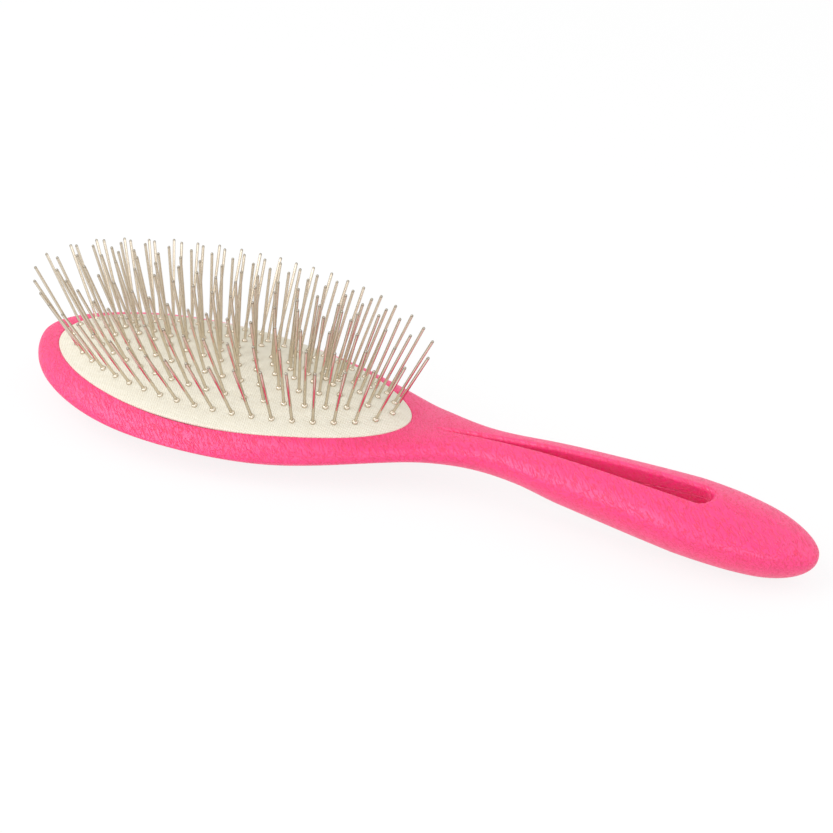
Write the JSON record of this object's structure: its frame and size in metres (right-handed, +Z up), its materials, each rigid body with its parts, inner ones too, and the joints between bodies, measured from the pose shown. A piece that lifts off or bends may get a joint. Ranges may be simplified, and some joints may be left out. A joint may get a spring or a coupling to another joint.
{
  "type": "pin brush",
  "caption": "Oval grooming brush: swept one-piece head and slotted handle, crowned cloth-faced air cushion that gives under load, fanned rows of straight blunt metal pins.",
  "frame": {"origin": "middle of the brush's outline on the plane its back rests on", "axes": "+X toward the end of the handle, +Y across, +Z up from the back to the pins"},
  "size_m": [0.2344, 0.0662, 0.043],
  "materials": {
    "pink_plastic": "satin moulded plastic with a fine wrinkled grain",
    "cushion_rubber": "matt natural rubber",
    "pad_cloth": "fine plain-woven cream cloth",
    "pin_alloy": "satin drawn wire, warm grey"
  },
  "bodies": {
    "head_and_handle": {"handle_body": "pink_plastic", "rubber_cushion": "cushion_rubber", "cloth_border": "pad_cloth"},
    "row_1": {"pin_row_1": "pin_alloy"},
    "row_2": {"pin_row_2": "pin_alloy"},
    "row_3": {"pin_row_3": "pin_alloy"},
    "crest": {"pin_row_4": "pin_alloy"}
  },
  "joints": [
    {"name": "press_crest", "type": "slide", "parent": "head_and_handle", "child": "crest", "axis": [0, 0, -1], "range_m": [0, 0.004], "stiffness_N_per_m": 900, "deforming": ["rubber_cushion"]},
    {"name": "press_row_3", "type": "slide", "parent": "head_and_handle", "child": "row_3", "axis": [0, 0, -1], "range_m": [0, 0.0033], "stiffness_N_per_m": 900},
    {"name": "press_row_2", "type": "slide", "parent": "head_and_handle", "child": "row_2", "axis": [0, 0, -1], "range_m": [0, 0.0024], "stiffness_N_per_m": 900},
    {"name": "press_row_1", "type": "slide", "parent": "head_and_handle", "child": "row_1", "axis": [0, 0, -1], "range_m": [0, 0.0013], "stiffness_N_per_m": 900}
  ],
  "couplings": [
    {"joint": "press_row_3", "follows": "press_crest", "ratio": 0.809},
    {"joint": "press_row_2", "follows": "press_crest", "ratio": 0.592},
    {"joint": "press_row_1", "follows": "press_crest", "ratio": 0.31}
  ]
}
